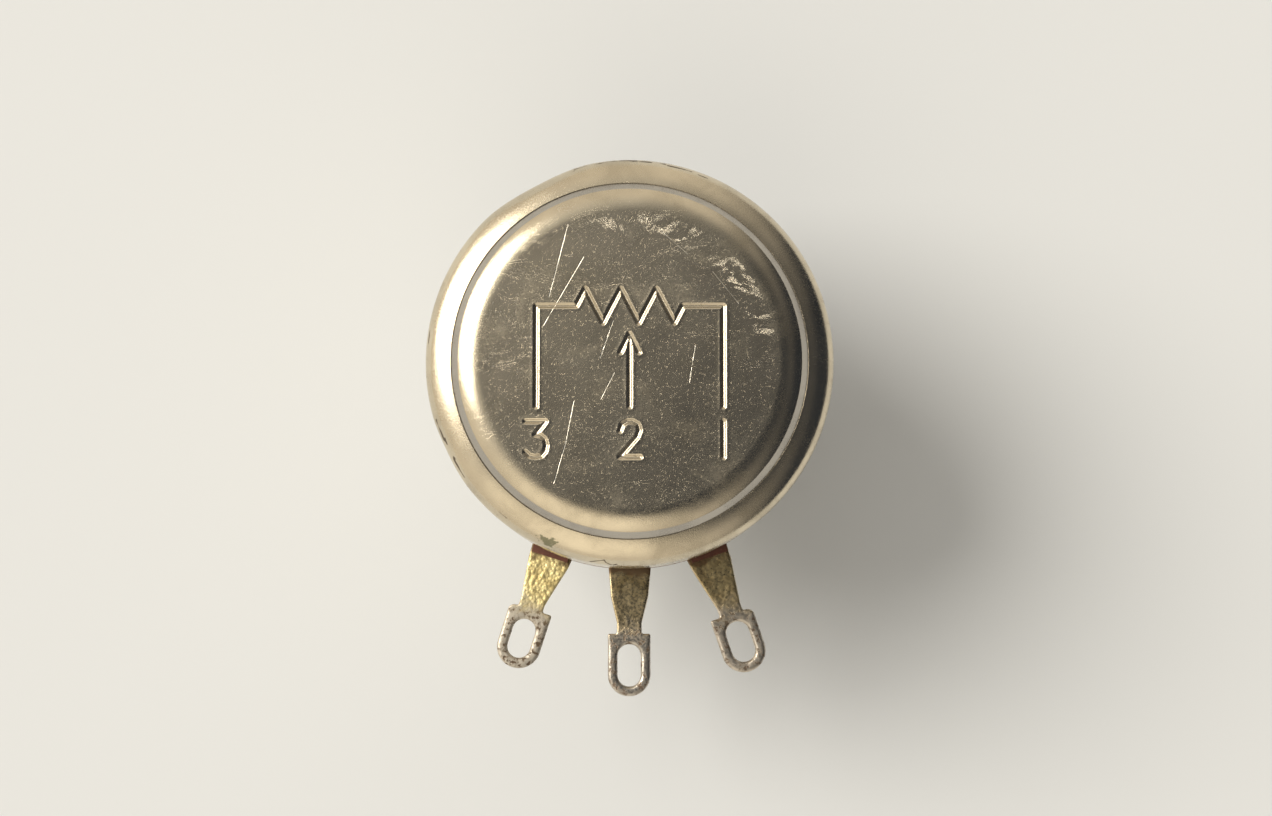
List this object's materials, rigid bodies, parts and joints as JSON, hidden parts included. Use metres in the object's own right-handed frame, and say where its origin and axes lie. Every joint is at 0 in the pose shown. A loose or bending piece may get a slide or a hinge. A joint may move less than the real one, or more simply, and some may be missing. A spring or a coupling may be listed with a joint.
{
  "type": "rotary potentiometer",
  "caption": "Round metal-cased rotary potentiometer with a threaded locking bushing, a slotted shaft that turns between stops, and flat solder lugs at the side.",
  "frame": {"origin": "centre of the panel seat, where the bushing leaves the face plate", "axes": "+Z from the panel seat to the back of the cover, so the shaft points to -Z; the solder lugs point to -Y and the locating tab is at +X"},
  "size_m": [0.0278, 0.0368, 0.0273],
  "materials": {
    "drawn_cover": "satin tinned brass, worn and scratched",
    "fibre_liner": "matt vulcanised fibre",
    "stamped_plate": "satin plated sheet",
    "turned_bushing": "turned, nickel plated",
    "phenolic": "brown moulded phenolic",
    "track_black": "matt hot-moulded carbon track",
    "track_end": "silvery low-resistance end",
    "collector": "polished by the brush",
    "lug_left": "tinned brass with granular flux and old solder",
    "lug_centre": "tinned brass, darkened",
    "lug_right": "tinned brass, darkened",
    "turned_shaft": "turned, satin",
    "spring_steel": "oiled spring steel",
    "washer_brass": "flat brass washer",
    "washer_bronze": "phosphor bronze",
    "hub_brass": "turned brass",
    "rotor_phenolic": "dark moulded phenolic",
    "stop_steel": "stamped, plated steel",
    "rivet_brass": "peened brass",
    "brush_carbon": "pressed carbon"
  },
  "bodies": {
    "housing": {"rear_cover": "drawn_cover", "cover_liner": "fibre_liner", "face_plate": "stamped_plate", "locking_bushing": "turned_bushing", "moulded_base": "phenolic", "resistance_track": "track_black", "track_end_left": "track_end", "track_end_right": "track_end", "collector_ring": "collector", "terminal_left": "lug_left", "terminal_centre": "lug_centre", "terminal_right": "lug_right"},
    "rotor": {"shaft": "turned_shaft", "retaining_ring": "spring_steel", "thrust_washer": "washer_brass", "spring_washer": "washer_bronze", "rotor_hub": "hub_brass", "rotor_disc": "rotor_phenolic", "stop_plate": "stop_steel", "brush_carrier": "rotor_phenolic", "carrier_rivets": "rivet_brass", "contact_brush": "brush_carbon", "brush_spring": "washer_bronze"}
  },
  "joints": [
    {"name": "shaft_turn", "type": "hinge", "parent": "housing", "child": "rotor", "pos_m": [0, 0, 0], "axis": [0, 0, 1], "range_deg": [-156, 156]}
  ]
}
